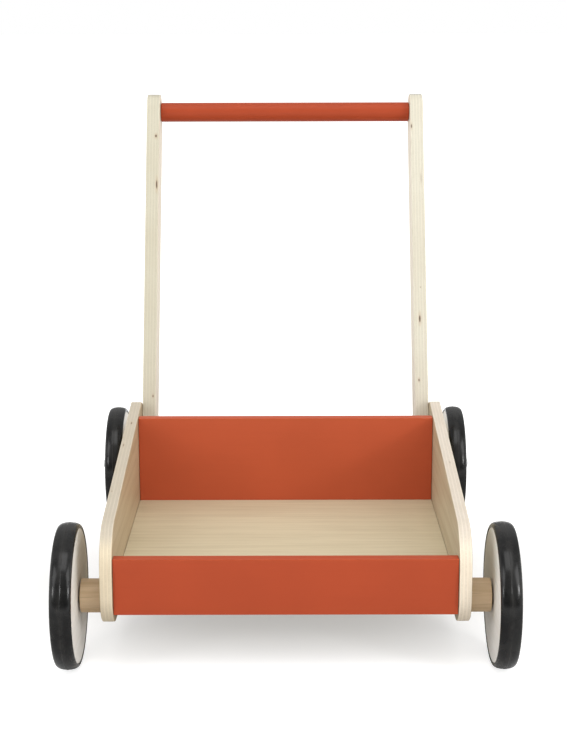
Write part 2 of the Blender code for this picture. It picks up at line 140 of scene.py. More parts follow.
def rounded_outline(corners):
    """Closed outline through (across, up, radius) corners, each turned into an arc."""
    outline = []
    for i, (across, up, radius) in enumerate(corners):
        corner = Vector((across, up))
        before = (Vector(corners[i - 1][:2]) - corner).normalized()
        after = (Vector(corners[(i + 1) % len(corners)][:2]) - corner).normalized()
        half = before.angle(after) / 2
        centre = corner + (before + after).normalized() * radius / math.sin(half)
        start = corner + before * radius / math.tan(half) - centre
        end = corner + after * radius / math.tan(half) - centre
        first = math.atan2(start.y, start.x)
        turn = math.atan2(start.cross(end), start.dot(end))
        outline += arc(centre, radius, first, first + turn, CORNER_STEPS)
    return outline


def new_object(name, points, edges, faces):
    mesh = bpy.data.meshes.new(name)
    mesh.from_pydata(points, edges, faces)
    obj = bpy.data.objects.new(name, mesh)
    bpy.context.scene.collection.objects.link(obj)
    return obj


def plate(name, outline, x_low, x_high, ease):
    """Flat plate across X, from an outline of (y, z) points that runs anticlockwise seen from +X."""
    count = len(outline)
    points = [(x, p[0], p[1]) for x in (x_low, x_high) for p in outline]
    walls = [(i, (i + 1) % count, count + (i + 1) % count, count + i) for i in range(count)]
    faces = [tuple(reversed(range(count))), tuple(range(count, 2 * count)), *walls]
    obj = new_object(name, points, [], faces)
    bevel = obj.modifiers.new("Eased edges", "BEVEL")
    bevel.width = ease
    bevel.segments = EASE_STEPS
    bevel.limit_method = "ANGLE"
    bevel.angle_limit = EASED_ANGLE
    return obj


def turned(name, profile, steps, closed=False):
    """Solid of revolution about local Z. The (radius, height) profile runs down the outer side."""
    count = len(profile)
    edges = [(i, i + 1) for i in range(count - 1)]
    if closed:
        edges.append((count - 1, 0))
    obj = new_object(name, [(radius, 0, height) for radius, height in profile], edges, [])
    screw = obj.modifiers.new("Turn", "SCREW")
    screw.axis = "Z"
    screw.steps = steps
    screw.render_steps = steps
    screw.use_merge_vertices = True
    screw.merge_threshold = 0.00001
    return obj


def eased_rim(radius, end, ease, steps):
    """Quarter arc from a flat end to the outer side of a turned piece."""
    turns = [math.pi / 2 * i / steps for i in range(steps + 1)]
    return [(radius - ease + ease * math.sin(a), end - ease + ease * math.cos(a)) for a in turns]


def put(obj, side, x, y, z):
    """Places an object with its local Z pointing away from the middle plane."""
    obj.location = (side * x, y, z)
    obj.rotation_euler = (0, side * math.pi / 2, 0)
    return obj


def cut(obj, cutters):
    """Cuts every cutter from the object for good."""
    for cutter in cutters:
        boolean = obj.modifiers.new(cutter.name, "BOOLEAN")
        boolean.operation = "DIFFERENCE"
        boolean.solver = "EXACT"
        boolean.object = cutter
    settle(obj)
    for cutter in cutters:
        bpy.data.objects.remove(cutter)


def settle(obj, sharp=SHARP_ANGLE):
    """Replaces the object's mesh by what its modifiers make of it, with smooth curved faces."""
    bpy.context.view_layer.update()
    graph = bpy.context.evaluated_depsgraph_get()
    made = bpy.data.meshes.new_from_object(obj.evaluated_get(graph))
    obj.modifiers.clear()
    obj.data = made
    made.shade_smooth()
    made.set_sharp_from_angle(angle=sharp)


def stand_for(obj, node, finish):
    """Makes a piece the shown shape of a CAD node."""
    obj.data.materials.clear()
    obj.data.materials.append(finish)
    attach(obj, BODY_OF[node])
    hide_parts(node)


# ---------------------------------------------------------------- finishes


class Finish:
    """A procedural material under construction. Its methods add nodes and return their output sockets."""

    def __init__(self, name):
        self.material = bpy.data.materials.new(name)
        self.material.use_nodes = True
        self.tree = self.material.node_tree
        self.shader = self.tree.nodes["Principled BSDF"]
        coordinates = self.tree.nodes.new("ShaderNodeTexCoord")
        self.place = coordinates.outputs["Object"]
        self.facing = coordinates.outputs["Normal"]

    def feed(self, socket, value):
        if isinstance(value, bpy.types.NodeSocket):
            self.tree.links.new(value, socket)
        else:
            socket.default_value = value

    def math(self, operation, a, b=0.0, clamp=False):
        node = self.tree.nodes.new("ShaderNodeMath")
        node.operation = operation
        node.use_clamp = clamp
        self.feed(node.inputs[0], a)
        self.feed(node.inputs[1], b)
        return node.outputs[0]

    def axis(self, vector, index):
        node = self.tree.nodes.new("ShaderNodeSeparateXYZ")
        self.feed(node.inputs[0], vector)
        return node.outputs[index]

    def length(self, vector):
        node = self.tree.nodes.new("ShaderNodeVectorMath")
        node.operation = "LENGTH"
        self.feed(node.inputs[0], vector)
        return node.outputs["Value"]

    def mapped(self, scale, offset=(0, 0, 0), vector=None):
        node = self.tree.nodes.new("ShaderNodeMapping")
        self.feed(node.inputs["Vector"], vector or self.place)
        node.inputs["Scale"].default_value = scale
        node.inputs["Location"].default_value = offset
        return node.outputs[0]

    def noise(self, vector, scale, detail=2.0, roughness=0.5, distortion=0.0):
        node = self.tree.nodes.new("ShaderNodeTexNoise")
        self.feed(node.inputs["Vector"], vector)
        node.inputs["Scale"].default_value = scale
        node.inputs["Detail"].default_value = detail
        node.inputs["Roughness"].default_value = roughness
        node.inputs["Distortion"].default_value = distortion
        return node.outputs[0]

    def wave(self, vector, direction, scale, distortion, detail=2.0, detail_scale=1.0):
        node = self.tree.nodes.new("ShaderNodeTexWave")
        node.bands_direction = direction
        self.feed(node.inputs["Vector"], vector)
        node.inputs["Scale"].default_value = scale
        node.inputs["Distortion"].default_value = distortion
        node.inputs["Detail"].default_value = detail
        node.inputs["Detail Scale"].default_value = detail_scale
        return node.outputs["Fac"]

    def ease(self, value, low, high, out_low=0.0, out_high=1.0):
        node = self.tree.nodes.new("ShaderNodeMapRange")
        node.interpolation_type = "SMOOTHSTEP"
        self.feed(node.inputs["Value"], value)
        node.inputs["From Min"].default_value = low
        node.inputs["From Max"].default_value = high
        node.inputs["To Min"].default_value = out_low
        node.inputs["To Max"].default_value = out_high
        return node.outputs["Result"]

    def mix(self, factor, a, b, blend="MIX"):
        node = self.tree.nodes.new("ShaderNodeMix")
        node.data_type = "RGBA"
        node.blend_type = blend
        self.feed(node.inputs[0], factor)
        for socket, value in ((node.inputs[6], a), (node.inputs[7], b)):
            self.feed(socket, (*value, 1.0) if isinstance(value, tuple) else value)
        return node.outputs[2]

    def bump(self, height, distance, strength):
        node = self.tree.nodes.new("ShaderNodeBump")
        node.inputs["Strength"].default_value = strength
        node.inputs["Distance"].default_value = distance
        self.feed(node.inputs["Height"], height)
        return node.outputs[0]

    def spot(self, centre, radii):
        """1 inside an ellipsoid, fading to 0 at its surface."""
        scale = tuple(1 / r for r in radii)
        offset = tuple(-c / r for c, r in zip(centre, radii))
        return self.ease(self.length(self.mapped(scale, offset)), 0.45, 1.0, 1.0, 0.0)

    def end(self, colour, roughness, normal=None, specular=0.5):
        self.feed(self.shader.inputs["Base Color"], colour)
        self.feed(self.shader.inputs["Roughness"], roughness)
        self.shader.inputs["Specular IOR Level"].default_value = specular
        if normal:
            self.feed(self.shader.inputs["Normal"], normal)
        return self.material


GRAIN_DIRECTION = {0: "Y", 1: "Z", 2: "X"}  # axis across the grain for bands, by the axis along it


def along_scale(along, ratio):
    return tuple(1 / ratio if i == along else 1.0 for i in range(3))


def veneer(finish, along, light, dark, seed, contrast=1.0, bands=0.30):
    """Colour, streak and pore sockets of a sliced wood face whose grain runs along one local axis."""
    offset = (seed * 1.37, seed * 0.83, seed * 2.11)
    long_space = finish.mapped(along_scale(along, 14), offset)
    figure = finish.wave(long_space, GRAIN_DIRECTION[along], 14, 9.0, 3.0, 1.6)
    streaks = finish.noise(finish.mapped(along_scale(along, 26), offset), 210, 4.0, 0.6)
    cloud = finish.noise(finish.mapped(along_scale(along, 3), offset), 9, 2.0)
    hair = finish.noise(finish.mapped(along_scale(along, 40), offset), 900, 2.0, 0.6)
    tone = finish.math("MULTIPLY", figure, bands * contrast)
    tone = finish.math("ADD", tone, finish.ease(streaks, 0.35, 0.72, 0.0, 0.42 * contrast))
    tone = finish.math("ADD", tone, finish.ease(cloud, 0.3, 0.7, -0.12, 0.22), clamp=True)
    pores = finish.ease(hair, 0.60, 0.74)
    colour = finish.mix(tone, light, dark)
    deep = tuple(c * 0.62 for c in dark)
    colour = finish.mix(finish.math("MULTIPLY", pores, 0.35 * contrast), colour, deep)
    return colour, streaks, pores


def plywood_finish(
    name, x_low, ply, along, seed, light, dark, face_light, face_dark, knots, top_tone, top_from, top_full
):
    """Lacquered plywood: veneer on the two faces across X, and its layers on the edges.

    top_tone darkens edges that face up, to make up for this scene's overhead light: it isn't a
    feature of the wood.
    """
    finish = Finish(name)
    face, streaks, pores = veneer(finish, along, face_light, face_dark, seed)
    across = finish.math("DIVIDE", finish.math("SUBTRACT", finish.axis(finish.place, 0), x_low), ply)
    index = finish.math("FLOOR", across)
    inside = finish.math("FRACT", across)
    crosswise = finish.math("MODULO", index, 2.0)
    from_middle = finish.math("ABSOLUTE", finish.math("SUBTRACT", inside, 0.5))
    glue = finish.ease(from_middle, 0.40, 0.49)
    long_lines = finish.noise(finish.mapped((1.0, 0.035, 0.035), (seed, 0, seed)), 1500, 3.0, 0.6)
    end_specks = finish.noise(finish.mapped((0.5, 1.0, 1.0), (0, seed, 0)), 1500, 2.0, 0.6)
    ply_tone = finish.noise(finish.mapped((0.0, 1.0, 1.0), (seed, 3.0, 0)), 18, 2.0)
    lit = tuple(min(1.0, c * 1.06) for c in light)
    long_colour = finish.mix(finish.ease(long_lines, 0.35, 0.75, 0.05, 0.42), lit, dark)
    specked = finish.ease(end_specks, 0.35, 0.70, 0.08, 0.42)
    end_colour = finish.mix(specked, light, tuple(c * 0.88 for c in dark))
    edge = finish.mix(crosswise, long_colour, end_colour)
    edge = finish.mix(finish.ease(ply_tone, 0.35, 0.7, 0.0, 0.22), edge, dark)
    edge = finish.mix(finish.math("MULTIPLY", glue, 0.20), edge, tuple(c * 0.55 for c in dark))
    on_top = finish.ease(finish.axis(finish.facing, 2), top_from, top_full)
    edge = finish.mix(on_top, edge, finish.mix(1.0, edge, top_tone, "MULTIPLY"))
    on_face = finish.ease(finish.math("ABSOLUTE", finish.axis(finish.facing, 0)), 0.55, 0.85)
    colour = finish.mix(on_face, edge, face)
    for centre, radii, strength in knots:
        ring = finish.spot(centre, tuple(r * 2.2 for r in radii))
        colour = finish.mix(finish.math("MULTIPLY", ring, 0.30 * strength), colour, (0.42, 0.25, 0.12))
        core = finish.spot(centre, radii)
        colour = finish.mix(finish.math("MULTIPLY", core, strength), colour, (0.10, 0.055, 0.03))
    height = finish.math("ADD", finish.math("MULTIPLY", streaks, 0.5), finish.math("MULTIPLY", pores, -0.6))
    grooves = finish.math("MULTIPLY", glue, -0.8)
    edge_height = finish.math("ADD", finish.math("MULTIPLY", long_lines, 0.8), grooves)
    mixed = finish.tree.nodes.new("ShaderNodeMix")
    finish.feed(mixed.inputs[0], on_face)
    finish.feed(mixed.inputs[2], edge_height)
    finish.feed(mixed.inputs[3], height)
    rough = finish.math("ADD", finish.math("MULTIPLY", finish.math("SUBTRACT", 1.0, on_face), 0.10), 0.44)
    rough = finish.math("ADD", rough, finish.math("MULTIPLY", streaks, 0.10))
    return finish.end(colour, rough, finish.bump(mixed.outputs[0], 0.00006, 0.8), 0.40)


def board_finish(name, along, seed, light, dark, contrast=1.0, bands=0.30):
    """Lacquered solid or veneered board, all its faces alike."""
    finish = Finish(name)
    colour, streaks, pores = veneer(finish, along, light, dark, seed, contrast, bands)
    height = finish.math("ADD", finish.math("MULTIPLY", streaks, 0.6), finish.math("MULTIPLY", pores, -0.5))
    rough = finish.math("ADD", finish.math("MULTIPLY", streaks, 0.12), 0.42)
    return finish.end(colour, rough, finish.bump(height, 0.00006, 0.8), 0.40)


def paint_finish(name, along, seed, base, half_sizes=None):
    """Satin paint on wood, thinner along the edges, with the grain just showing through."""
    finish = Finish(name)
    cloud = finish.noise(finish.mapped((1, 1, 1), (seed, seed, 0)), 14, 3.0)
    grain = finish.noise(finish.mapped(along_scale(along, 22), (seed, 0, seed)), 260, 4.0, 0.6)
    peel = finish.noise(finish.mapped((1, 1, 1), (0, seed, 0)), 900, 2.0)
    dim, bright = tuple(c * 0.975 for c in base), tuple(c * 1.03 for c in base)
    colour = finish.mix(finish.ease(cloud, 0.3, 0.7), dim, bright)
    colour = finish.mix(finish.ease(grain, 0.4, 0.75, 0.0, 0.16), colour, tuple(c * 0.90 for c in base))
    if half_sizes:
        near = [
            finish.ease(finish.math("ABSOLUTE", finish.axis(finish.place, i)), half - 0.0014, half - 0.0002)
            for i, half in enumerate(half_sizes)
        ]
        total = finish.math("ADD", finish.math("ADD", near[0], near[1]), near[2])
        edge = finish.math("SUBTRACT", total, 1.0, clamp=True)
        patchy = finish.noise(finish.mapped((1, 1, 1), (seed, 1, 2)), 160, 3.0, 0.7)
        worn = finish.math("MULTIPLY", edge, finish.ease(patchy, 0.35, 0.7, 0.0, 0.30))
        colour = finish.mix(worn, colour, PAINT_WORN)
    height = finish.math("ADD", finish.math("MULTIPLY", grain, 0.7), finish.math("MULTIPLY", peel, 0.3))
    rough = finish.ease(cloud, 0.25, 0.75, 0.40, 0.50)
    return finish.end(colour, rough, finish.bump(height, 0.00005, 0.7), 0.20)


def disc_finish(name, seed):
    """Sanded wooden disc, its grain along one diameter."""
    finish = Finish(name)
    face, streaks, pores = veneer(finish, 1, DISC_LIGHT, DISC_DARK, seed, 0.8)
    height = finish.math("ADD", finish.math("MULTIPLY", streaks, 0.6), finish.math("MULTIPLY", pores, -0.5))
    rough = finish.math("ADD", finish.math("MULTIPLY", streaks, 0.10), 0.50)
    return finish.end(face, rough, finish.bump(height, 0.00005, 0.7), 0.35)


def rubber_finish(name, seed, middle):
    """Moulded black rubber, mottled, and scuffed paler in patches along the middle of the tread."""
    finish = Finish(name)
    mottle = finish.noise(finish.mapped((1, 1, 1), (seed, 0, seed)), 45, 4.0, 0.65)
    fine = finish.noise(finish.mapped((1, 1, 1), (0, seed, 0)), 1400, 2.0)
    colour = finish.mix(finish.ease(mottle, 0.38, 0.68), RUBBER_BLACK, RUBBER_WORN)
    off_middle = finish.math("ABSOLUTE", finish.math("SUBTRACT", finish.axis(finish.place, 2), middle))
    wander = finish.math("MULTIPLY", finish.math("SUBTRACT", mottle, 0.5), 0.010)
    band = finish.ease(finish.math("ADD", off_middle, wander), 0.0003, 0.0042, 1.0, 0.0)
    patchy = finish.noise(finish.mapped((1, 1, 1), (seed, 2, 1)), 110, 4.0, 0.7)
    band = finish.math("MULTIPLY", band, finish.ease(patchy, 0.38, 0.66, 0.25, 1.0))
    colour = finish.mix(finish.math("MULTIPLY", band, 0.42), colour, RUBBER_SCUFF)
    rough = finish.math("ADD", finish.ease(mottle, 0.25, 0.8, 0.20, 0.34), finish.math("MULTIPLY", band, 0.12))
    height = finish.math("ADD", finish.math("MULTIPLY", fine, 0.5), mottle)
    finish.shader.inputs["Coat Weight"].default_value = 0.50
    finish.shader.inputs["Coat Roughness"].default_value = 0.18
    return finish.end(colour, rough, finish.bump(height, 0.00003, 0.6), 0.06)


def metal_finish():
    """Bright zinc plate with faint turning marks and hazy patches."""
    finish = Finish("zinc_plate")
    haze = finish.noise(finish.mapped((1, 1, 1)), 220, 3.0, 0.6)
    marks = finish.noise(finish.mapped((1, 1, 30)), 500, 2.0)
    colour = finish.mix(finish.ease(haze, 0.3, 0.7), (0.52, 0.53, 0.54), (0.68, 0.68, 0.67))
    finish.shader.inputs["Metallic"].default_value = 1.0
    rough = finish.ease(haze, 0.25, 0.75, 0.24, 0.38)
    return finish.end(colour, rough, finish.bump(marks, 0.00002, 0.6))


def nylon_finish():
    """Dark moulded nylon with a fine matt texture."""
    finish = Finish("moulded_nylon")
    speckle = finish.noise(finish.mapped((1, 1, 1)), 1200, 3.0)
    colour = finish.mix(speckle, (0.040, 0.036, 0.032), (0.070, 0.064, 0.058))
    rough = finish.ease(speckle, 0.3, 0.7, 0.42, 0.55)
    return finish.end(colour, rough, finish.bump(speckle, 0.00004, 0.5))


# ---------------------------------------------------------------- pieces

# Painted light and shade: the three reds are one paint, made lighter on the rear board (painted light)
# and darker on the handle (painted shade). The plywood tones of the two sides and the uprights are partly
# the wood's own and partly painted light and shade. One paint and one plywood would do under other lights.
PAINT, PAINT_REAR_PAINTED_LIGHT, PAINT_HANDLE_PAINTED_SHADE = (0.415, 0.063, 0.0205), (0.49, 0.088, 0.034), (0.365, 0.053, 0.0158)
PAINT_WORN = (0.47, 0.095, 0.040)
PLY_LIGHT, PLY_DARK = (0.80, 0.705, 0.555), (0.64, 0.51, 0.34)
FACE_LIGHT, FACE_DARK = (0.62, 0.51, 0.335), (0.47, 0.355, 0.205)
UPRIGHT_FACE_LIGHT, UPRIGHT_FACE_DARK = (0.74, 0.68, 0.56), (0.60, 0.51, 0.38)
UPRIGHT_LIGHT, UPRIGHT_DARK = (0.66, 0.62, 0.50), (0.55, 0.48, 0.35)
# Per-side plywood tones, partly the wood's own and partly painted light and shade: the right lighter (painted
# light), the left and the side faces darker (painted shade); the top tones darken edges that face up (painted
# shade).
SIDE_WOOD_AND_LIGHT_TONES = {"left": (0.91, 0.90, 0.85), "right": (1.05, 1.06, 1.10)}
SIDE_TOP_TONES = {"left": (0.75, 0.77, 0.84), "right": (0.81, 0.82, 0.86)}
UPRIGHT_TOP_TONE = (0.60, 0.62, 0.68)
SIDE_FACE_WOOD_AND_SHADE_TONES = {"left": (0.82, 0.82, 0.82), "right": (0.84, 0.90, 0.96)}
UPRIGHT_WOOD_AND_LIGHT_TONES = {"left": (0.855, 0.860, 0.845), "right": (0.970, 0.985, 1.010)}
FLOOR_LIGHT, FLOOR_DARK = (0.625, 0.555, 0.382), (0.45, 0.375, 0.232)
RUBBER_BLACK, RUBBER_WORN = (0.0004, 0.0004, 0.0004), (0.0120, 0.0118, 0.0112)
RUBBER_SCUFF = (0.032, 0.030, 0.027)
DISC_LIGHT, DISC_DARK = (0.86, 0.84, 0.80), (0.73, 0.69, 0.61)
DOWEL_LIGHT, DOWEL_DARK = (0.66, 0.485, 0.305), (0.46, 0.315, 0.170)


def toned(colour, tone):
    """The colour, made lighter or darker channel by channel."""
    return tuple(c * t for c, t in zip(colour, tone))


def half_and_middle(node):
    low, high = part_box(node)
    return (high - low) / 2, (high + low) / 2


def node_places(kind, name):
    """(outer x, y, z) of every CAD node of one kind on one side, with the node's name."""
    found = []
    for node in sorted(frame["nodes"]):
        if node.startswith(kind) and node.endswith("_" + name):
            low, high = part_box(node)
            outer = max(abs(low.x), abs(high.x))
            found.append((node, outer, (low.y + high.y) / 2, (low.z + high.z) / 2))
    return found


def hole(name, radius, side, x_low, x_high, y, z):
    profile = [(0, x_high), (radius, x_high), (radius, x_low), (0, x_low)]
    return put(turned(name, profile, SMALL_STEPS), side, 0, y, z)


def countersink(node, side, face_x, spare=0.0003):
    """Hole for a screw, straight through to its point, with a cone for its head."""
    half, middle = half_and_middle(node)
    head, length = half.y + spare, 2 * half.x
    shank, depth = head * 0.52, head * 0.62
    profile = [
        (0, 0.01),
        (head, 0.01),
        (head, -0.0007),
        (shank, -0.0007 - depth),
        (shank, -length - 0.001),
        (0, -length - 0.001),
    ]
    return put(turned("countersink", profile, SMALL_STEPS), side, face_x, middle.y, middle.z)


def make_sides():
    knots = (
        ((-0.1553, 0.0082, 0.1653), (0.0009, 0.0030, 0.0020), 0.75),
        ((-0.1580, -0.0476, 0.1575), (0.0008, 0.0045, 0.0020), 0.55),
        ((-0.1585, -0.1530, 0.1427), (0.0006, 0.0022, 0.0015), 0.40),
        ((0.1560, -0.0900, 0.1515), (0.0007, 0.0028, 0.0015), 0.35),
    )
    for name, side in SIDES:
        node = "side_panel_" + name
        low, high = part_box(node)
        front = AXLES["wheel_front_" + name].y - AXLE_SETBACK
        corners = [(front + y, z, radius) for y, z, radius in SIDE_CORNERS]
        panel = plate(node + "_shape", rounded_outline(corners), low.x, high.x, SIDE_EASE)
        outer = max(abs(low.x), abs(high.x))
        inner = min(abs(low.x), abs(high.x))
        cutters = [countersink(screw, side, outer) for screw, *_ in node_places("board_screw", name)]
        for axle in ("front", "rear"):
            at = AXLES[f"wheel_{axle}_{name}"]
            radius = ROD_RADIUS + FIT_GAP
            cutters.append(hole("axle", radius, side, inner - 0.01, outer + 0.01, at.y, at.z))
        for _, _, y, z in node_places("upright_bolt", name):
            cutters.append(hole("bolt", BOLT_HOLE_RADIUS, side, inner - 0.01, outer + 0.01, y, z))
        cut(panel, cutters)
        own = [k for k in knots if k[0][0] * side > 0]
        # The side's tones are partly the wood's own and partly painted light and shade; its up-facing edges get
        # painted shade.
        finish = plywood_finish(
            "ply_" + node,
            low.x,
            (high.x - low.x) / SIDE_PLIES,
            1,
            3.1 + side,
            toned(PLY_LIGHT, SIDE_WOOD_AND_LIGHT_TONES[name]),
            toned(PLY_DARK, SIDE_WOOD_AND_LIGHT_TONES[name]),
            toned(FACE_LIGHT, SIDE_FACE_WOOD_AND_SHADE_TONES[name]),
            toned(FACE_DARK, SIDE_FACE_WOOD_AND_SHADE_TONES[name]),
            own,
            SIDE_TOP_TONES[name],
            0.45,
            0.85,
        )
        stand_for(panel, node, finish)


def upright_outline():
    """Outline of an upright in its own plane: (back, up) from the handle's centre, before it leans."""
    half = UPRIGHT_DEPTH / 2
    foot = [(-half, -UPRIGHT_FOOT, UPRIGHT_FOOT_CORNER), (half, -UPRIGHT_FOOT, UPRIGHT_FOOT_CORNER)]
    lower = rounded_outline([*foot, (half, 0, half / 100), (-half, 0, half / 100)])
    return lower[: 2 * (CORNER_STEPS + 1)] + arc(Vector((0, 0)), half, 0, math.pi, TOP_STEPS)


def make_uprights():
    knots = {
        "left": (
            ((-0.1393, -0.0192, -0.0336), (0.0012, 0.003, 0.0022), 0.95),
            ((-0.1378, -0.0192, -0.0882), (0.0010, 0.003, 0.0060), 1.0),
            ((-0.1388, -0.0192, -0.3187), (0.0010, 0.003, 0.0018), 0.70),
        ),
        "right": (
            ((0.1369, -0.0192, -0.0232), (0.0009, 0.003, 0.0028), 0.80),
            ((0.1461, -0.0192, -0.0817), (0.0006, 0.003, 0.0070), 0.35),
            ((0.1435, -0.0192, -0.2021), (0.0007, 0.003, 0.0009), 0.50),
            ((0.1421, -0.0192, -0.2364), (0.0011, 0.003, 0.0050), 1.00),
            ((0.1401, -0.0192, -0.3023), (0.0009, 0.003, 0.0020), 0.85),
        ),
    }
    _, at = half_and_middle("handle_bar")
    for name, side in SIDES:
        node = "upright_" + name
        low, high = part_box(node)
        upright = plate(node + "_shape", upright_outline(), low.x, high.x, UPRIGHT_EASE)
        upright.location = (0, at.y, at.z)
        upright.rotation_euler = (-UPRIGHT_LEAN, 0, 0)
        inner, outer = sorted((abs(low.x), abs(high.x)))
        cutters = [countersink("handle_screw_" + name, side, outer)]
        for _, _, y, z in node_places("upright_bolt", name):
            cutters.append(hole("sleeve", SLEEVE_HOLE_RADIUS, side, inner - 0.01, outer + 0.01, y, z))
        cut(upright, cutters)
        # The upright's tones are partly the wood's own and partly painted light and shade; its up-facing edges get
        # painted shade.
        finish = plywood_finish(
            "ply_" + node,
            low.x,
            (high.x - low.x) / UPRIGHT_PLIES,
            2,
            7.3 + side,
            toned(UPRIGHT_LIGHT, UPRIGHT_WOOD_AND_LIGHT_TONES[name]),
            toned(UPRIGHT_DARK, UPRIGHT_WOOD_AND_LIGHT_TONES[name]),
            UPRIGHT_FACE_LIGHT,
            UPRIGHT_FACE_DARK,
            knots[name],
            UPRIGHT_TOP_TONE,
            0.72,
            0.92,
        )
        stand_for(upright, node, finish)


def make_board(node, finish, ease):
    half, middle = half_and_middle(node)
    outline = [(-half.y, -half.z), (half.y, -half.z), (half.y, half.z), (-half.y, half.z)]
    obj = plate(node + "_shape", outline, -half.x, half.x, ease)
    obj.location = middle
    cutters = []
    part = node.split("_")[0]
    for name, side in SIDES:
        for screw, outer, _, _ in node_places("board_screw_" + part, name):
            cutters.append(countersink(screw, side, outer + 0.0002))
    cut(obj, cutters)
    stand_for(obj, node, finish)


def make_boards():
    # The rear board's red is the front's paint made lighter: painted light.
    for node, seed, paint in (("front_board", 1.0, PAINT), ("rear_board", 2.0, PAINT_REAR_PAINTED_LIGHT)):
        half, _ = half_and_middle(node)
        make_board(node, paint_finish("paint_" + node, 0, seed, paint, tuple(half)), BOARD_EASE)
    floor_finish = board_finish("wood_floor_board", 0, 5.2, FLOOR_LIGHT, FLOOR_DARK, 0.85, 0.13)
    make_board("floor_board", floor_finish, FLOOR_EASE)


def make_handle():
    half, middle = half_and_middle("handle_bar")
    radius, end = half.z, half.x
    ease = 0.0010
    rim = eased_rim(radius, end, ease, EASE_STEPS)
    profile = [(0, end), *rim, *((r, -z) for r, z in reversed(rim)), (0, -end)]
    bar = put(turned("handle_bar_shape", profile, HANDLE_STEPS), 1, 0, middle.y, middle.z)
    face_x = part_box("upright_right")[1].x
    cutters = [countersink("handle_screw_" + name, side, face_x) for name, side in SIDES]
    cut(bar, cutters)
    # The handle's red is the front's paint made darker: painted shade.
    stand_for(bar, "handle_bar", paint_finish("paint_handle_bar", 2, 4.0, PAINT_HANDLE_PAINTED_SHADE))


def superellipse(radius, rise, middle, half, power, steps):
    """Crown of a tyre from its outer edge to its inner edge."""
    points = []
    for i in range(steps + 1):
        across = math.cos(math.pi * i / steps)
        lift = (1 - abs(across) ** power) ** (1 / power)
        points.append((radius + rise * lift, middle + half * across))
    return points


def make_wheel(wheel, side, nylon):
    """Disc, tyre and bush, turned about an axis through the wheel's own inner face."""
    half, middle = half_and_middle("wheel_disc_" + wheel)
    thick = 2 * half.x
    inner = min(abs(middle.x - half.x), abs(middle.x + half.x))
    rim, at = half.z, AXLES["wheel_" + wheel]
    tyre_half, _ = half_and_middle("tyre_" + wheel)
    bush_half, _ = half_and_middle("wheel_bush_" + wheel)
    flange, flange_thick, body = bush_half.z, 0.0018, 0.0065
    ease, groove = 0.0008, 0.0025
    seat = flange + FIT_GAP
    disc_profile = [
        (seat, thick),
        (rim - ease, thick),
        (rim - 0.3 * ease, thick - 0.3 * ease),
        (rim, thick - ease),
        (rim, thick - 0.005),
        (rim - groove, thick / 2),
        (rim, 0.005),
        (rim, ease),
        (rim - 0.3 * ease, 0.3 * ease),
        (rim - ease, 0),
        (body + FIT_GAP, 0),
        (body + FIT_GAP, thick - flange_thick - FIT_GAP),
        (seat, thick - flange_thick - FIT_GAP),
    ]
    disc = put(turned(f"wheel_disc_{wheel}_shape", disc_profile, WHEEL_STEPS, True), side, inner, at.y, at.z)
    settle(disc)
    seed = at.x * 7 + at.y * 11
    stand_for(disc, "wheel_disc_" + wheel, disc_finish("ply_disc_" + wheel, seed))

    centre, ridge = thick / 2, TYRE_RIDGE
    outer_radius = tyre_half.z
    rise = outer_radius - ridge - TYRE_SHOULDER_RADIUS
    crown = superellipse(TYRE_SHOULDER_RADIUS, rise, centre, tyre_half.x, TYRE_CROWN_POWER, CROWN_STEPS)
    crown = [point for point in crown if abs(point[1] - centre) > 0.0008]
    top = [p for p in crown if p[1] > centre]
    bottom = [p for p in crown if p[1] < centre]
    parting = [
        (outer_radius - ridge, centre + 0.0006),
        (outer_radius, centre + 0.00025),
        (outer_radius, centre - 0.00025),
        (outer_radius - ridge, centre - 0.0006),
    ]
    inside = rim + FIT_GAP
    lip = tyre_half.x - 0.0003
    tyre_profile = [
        (inside + 0.0004, centre + tyre_half.x),
        *top,
        *parting,
        *bottom,
        (inside + 0.0004, centre - tyre_half.x),
        (inside, centre - lip),
        (inside, 0.005),
        (inside - groove, centre),
        (inside, thick - 0.005),
        (inside, centre + lip),
    ]
    tyre = put(turned(f"tyre_{wheel}_shape", tyre_profile, WHEEL_STEPS, True), side, inner, at.y, at.z)
    settle(tyre, TYRE_SHARP_ANGLE)
    stand_for(tyre, "tyre_" + wheel, rubber_finish("rubber_tyre_" + wheel, seed, centre))

    bore = ROD_RADIUS + 0.00015
    proud = thick + 0.0003
    bush_profile = [
        (flange - 0.0003, proud),
        (flange, proud - 0.0003),
        (flange, thick - flange_thick),
        (body, thick - flange_thick),
        (body, 0),
        (bore, 0),
        (bore, proud),
    ]
    bush = put(turned(f"wheel_bush_{wheel}_shape", bush_profile, ROUND_STEPS, True), side, inner, at.y, at.z)
    settle(bush)
    stand_for(bush, "wheel_bush_" + wheel, nylon)


def ring(node, side, bore, ease, finish):
    """Spacer or washer: a tube with eased outer edges."""
    half, middle = half_and_middle(node)
    radius, end = half.z, half.x
    rim = eased_rim(radius, end, ease, 3)
    profile = [*rim, *((r, -z) for r, z in reversed(rim)), (bore, -end), (bore, end)]
    tube = turned(node + "_shape", profile, ROUND_STEPS, True)
    obj = put(tube, side, abs(middle.x), middle.y, middle.z)
    settle(obj)
    stand_for(obj, node, finish)


